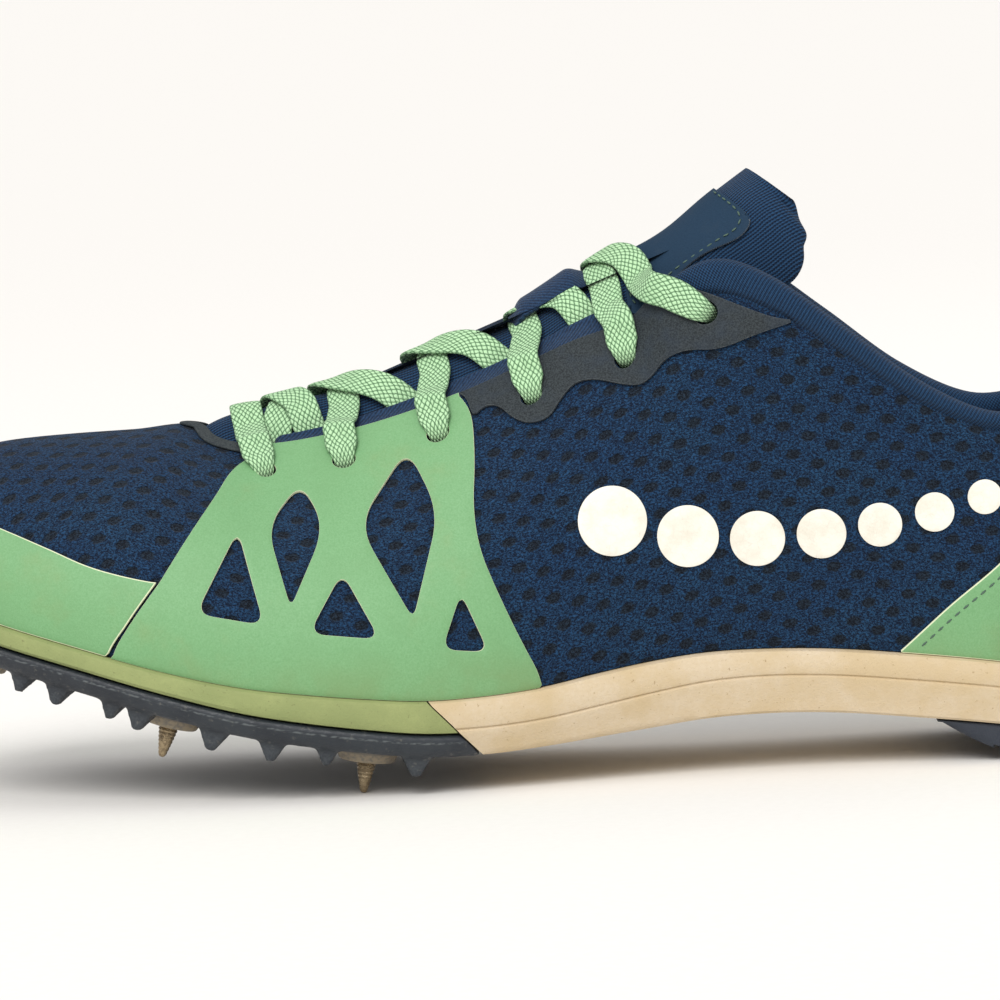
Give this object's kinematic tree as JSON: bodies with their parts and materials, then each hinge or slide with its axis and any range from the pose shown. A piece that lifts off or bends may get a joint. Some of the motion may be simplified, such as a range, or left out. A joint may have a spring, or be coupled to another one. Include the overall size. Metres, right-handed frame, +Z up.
{
  "type": "left lace-up sprint spike",
  "caption": "Left track spike shoe in navy mesh with green overlays and laces, cream and olive midsole, toothed spike plate with metal pins and a low open collar",
  "frame": {"origin": "on the floor, at the centre of the heel pad's flat resting spot", "axes": "+Z up from the floor; the toe points to -X and the heel to +X; +Y is the inner side of a left foot"},
  "size_m": [0.29, 0.0943, 0.1275],
  "materials": {
    "mesh_navy": "matte knit",
    "knit_navy": "ribbed knit",
    "insole_navy": "brushed",
    "synthetic_green": "smooth matte film",
    "synthetic_grey": "matte film",
    "lace_green": "flat woven",
    "foam_olive": "matte foam",
    "foam_cream": "matte foam",
    "plate_navy": "satin nylon",
    "rubber_navy": "matte",
    "seat_nylon": "satin",
    "pin_steel": "worn, warm toned"
  },
  "bodies": {
    "root": {"upper": "mesh_navy", "tongue": "knit_navy", "lace_keeper": "knit_navy", "insole": "insole_navy", "toe_rand": "synthetic_green", "cage_outer": "synthetic_green", "cage_inner": "synthetic_green", "heel_counter": "synthetic_green", "eyestay_outer": "synthetic_grey", "eyestay_inner": "synthetic_grey", "throat_trim": "synthetic_grey", "lace_bar": "lace_green", "lace_crossing_1": "lace_green", "lace_crossing_2": "lace_green", "lace_crossing_3": "lace_green", "lace_crossing_4": "lace_green", "lace_crossing_5": "lace_green", "midsole_front": "foam_olive", "midsole_rear": "foam_cream", "spike_plate": "plate_navy", "heel_pad": "rubber_navy", "spike_seat_1": "seat_nylon", "spike_seat_2": "seat_nylon", "spike_seat_3": "seat_nylon", "spike_seat_4": "seat_nylon", "spike_seat_5": "seat_nylon", "spike_seat_6": "seat_nylon", "spike_pin_1": "pin_steel", "spike_pin_2": "pin_steel", "spike_pin_3": "pin_steel", "spike_pin_4": "pin_steel", "spike_pin_5": "pin_steel", "spike_pin_6": "pin_steel"}
  },
  "joints": []
}
